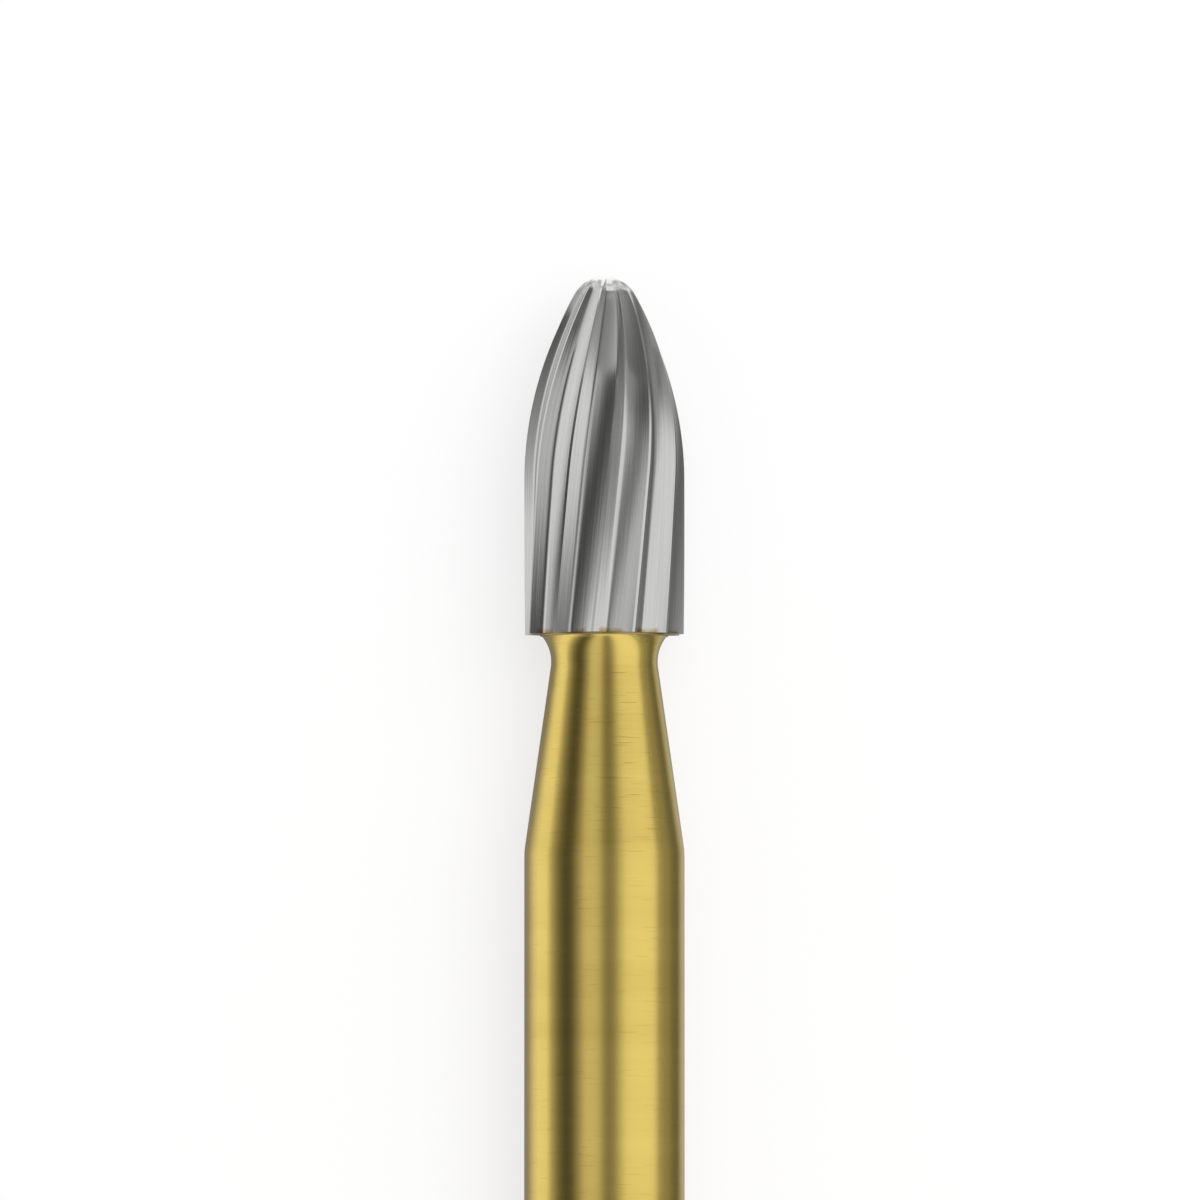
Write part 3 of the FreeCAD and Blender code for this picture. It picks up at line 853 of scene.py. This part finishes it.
class BUR_OT_add_stage(bpy.types.Operator):
    """Adds the table, the studio papers, the light and the camera"""

    bl_idname = "bur.add_stage"
    bl_label = "Add Stage"

    def execute(self, context):
        stage = context.scene.bur_stage
        half = stage.table_size / 2
        corners = [(-half, -half, 0), (half, -half, 0), (half, half, 0), (-half, half, 0)]
        stage_piece("table", corners, [(0, 1, 2, 3)], white_table())
        add_papers(stage)
        add_world()
        add_lamp(stage)
        add_camera(stage)
        context.scene.view_settings.view_transform = "Standard"
        return {"FINISHED"}


class BUR_PT_panel(bpy.types.Panel):
    """Lists the pieces of the bur and their sizes"""

    bl_idname = "BUR_PT_panel"
    bl_label = "Finishing Bur"
    bl_space_type = "VIEW_3D"
    bl_region_type = "UI"
    bl_category = "Finishing Bur"

    def draw(self, context):
        for sizes, operators in (
            (context.scene.bur_shank, ("bur.add_shank", "bur.add_braze")),
            (context.scene.bur_head, ("bur.add_head",)),
            (context.scene.bur_stage, ("bur.add_stage",)),
        ):
            box = self.layout.box()
            for name in sizes.__annotations__:
                box.prop(sizes, name)
            for operator in operators:
                box.operator(operator)


GROUPS = {"bur_shank": ShankSizes, "bur_head": HeadSizes, "bur_stage": StageSizes}
OPERATORS = (BUR_OT_add_shank, BUR_OT_add_braze, BUR_OT_add_head, BUR_OT_add_stage)


def register():
    """Adds the sizes to the scene, and the operators and the panel to Blender."""
    for name, group in GROUPS.items():
        bpy.utils.register_class(group)
        setattr(bpy.types.Scene, name, PointerProperty(type=group))
    for item in (*OPERATORS, BUR_PT_panel):
        bpy.utils.register_class(item)


def unregister():
    """Takes away what register adds."""
    for item in (BUR_PT_panel, *OPERATORS):
        bpy.utils.unregister_class(item)
    for name, group in GROUPS.items():
        delattr(bpy.types.Scene, name)
        bpy.utils.unregister_class(group)


def main():
    """Builds the bur and its stage."""
    register()
    bpy.ops.bur.add_shank()
    bpy.ops.bur.add_braze()
    bpy.ops.bur.add_head()
    bpy.ops.bur.add_stage()


if __name__ == "__main__":
    main()
